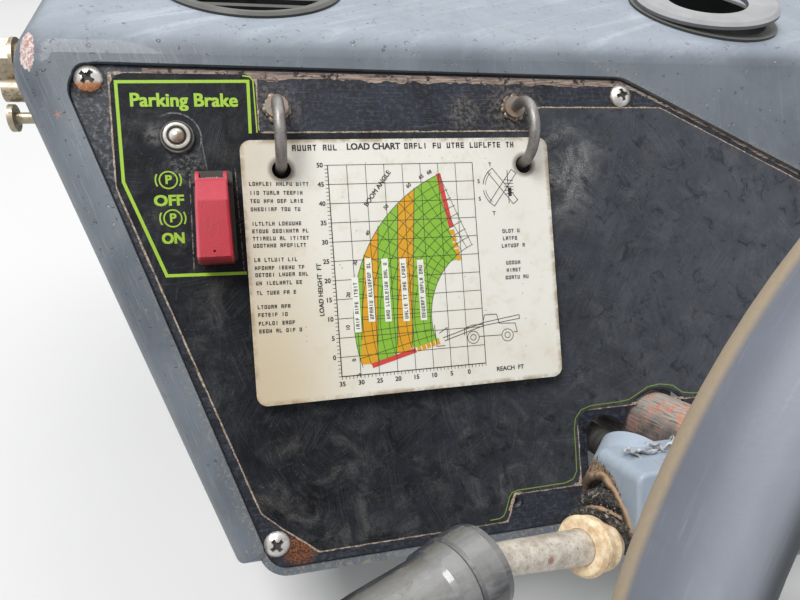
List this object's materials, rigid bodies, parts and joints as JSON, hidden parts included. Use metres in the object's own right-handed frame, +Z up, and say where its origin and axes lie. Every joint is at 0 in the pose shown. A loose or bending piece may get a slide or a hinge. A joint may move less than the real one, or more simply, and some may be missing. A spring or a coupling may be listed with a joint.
{
  "type": "telehandler dash console with steering column",
  "caption": "Hollow cab dash with a hinged load chart card, guarded switch, column lever and steering wheel on a bolt-on frame.",
  "frame": {"origin": "centre of the four-bolt pattern on the back face of the frame's mounting plate", "axes": "+X to the operator's right, +Y forward out of the mounting face, +Z up"},
  "size_m": [0.7724, 0.7408, 0.4661],
  "materials": {
    "cowl": "satin paint, dusty and scratched",
    "plate": "satin, rusty at the torn edge",
    "overlay": "printed film, dusty",
    "screws": "dull zinc",
    "bezel": "worn chrome",
    "lens": "clear amber",
    "switch_black": "moulded",
    "toggle": "bright",
    "guard": "red, faded on top",
    "hoops": "bare rod, dull",
    "card": "printed card, yellowed",
    "gauge_can": "black",
    "gauge_glass": "clear",
    "key": "worn",
    "rockers": "moulded",
    "vent": "moulded, dusty",
    "vent_grey": "moulded, dusty",
    "fasteners": "yellow zinc, dull",
    "frame": "black, semi-gloss",
    "jacket": "black, scraped",
    "valve": "black, dull",
    "housing": "pale, weathered",
    "boot": "perished",
    "gland": "cream, dusty",
    "stem": "dull, dusty",
    "grip": "moulded, dusty",
    "conduit": "moulded",
    "shaft": "turned",
    "rim": "moulded, worn smooth",
    "spokes": "black, semi-gloss"
  },
  "bodies": {
    "console": {"dash_shell": "cowl", "face_plate": "plate", "legend_overlay": "overlay", "plate_screws": "screws", "lamp_bezel": "bezel", "lamp_lens": "lens", "guard_base": "switch_black", "toggle_lever": "toggle", "chart_hoops": "hoops", "gauge_fuel": "gauge_can", "gauge_temperature": "gauge_can", "gauge_glass": "gauge_glass", "key_switch": "key", "rocker_switches": "rockers", "vent_left": "vent", "vent_collar": "vent", "vent_flange": "vent_grey", "side_fasteners": "fasteners", "mount_plate": "frame", "frame_side_left": "frame", "frame_side_right": "frame", "column_bracket": "frame", "cross_tube": "frame", "column_jacket": "jacket", "steering_valve": "valve", "switch_housing": "housing", "lever_boot": "boot", "lever_collar": "gland", "lever_stem": "stem", "lever_grip": "grip", "loom_conduit": "conduit"},
    "wheel": {"wheel_rim": "rim", "wheel_spokes": "spokes", "wheel_cap": "spokes", "steering_shaft": "shaft"},
    "chart": {"chart_card": "card"},
    "guard": {"guard_cover": "guard"}
  },
  "joints": [
    {"name": "wheel_turn", "type": "hinge", "parent": "console", "child": "wheel", "pos_m": [0, -0.43, 0.07], "axis": [0, -0.788, 0.6157], "continuous": true},
    {"name": "chart_swing", "type": "hinge", "parent": "console", "child": "chart", "pos_m": [-0.161, -0.3029, 0.21124], "axis": [-1, 0, 0], "range_deg": [0, 90]},
    {"name": "guard_lift", "type": "hinge", "parent": "console", "child": "guard", "pos_m": [-0.267, -0.32111, 0.19304], "axis": [-1, 0, 0], "range_deg": [0, 100]}
  ]
}
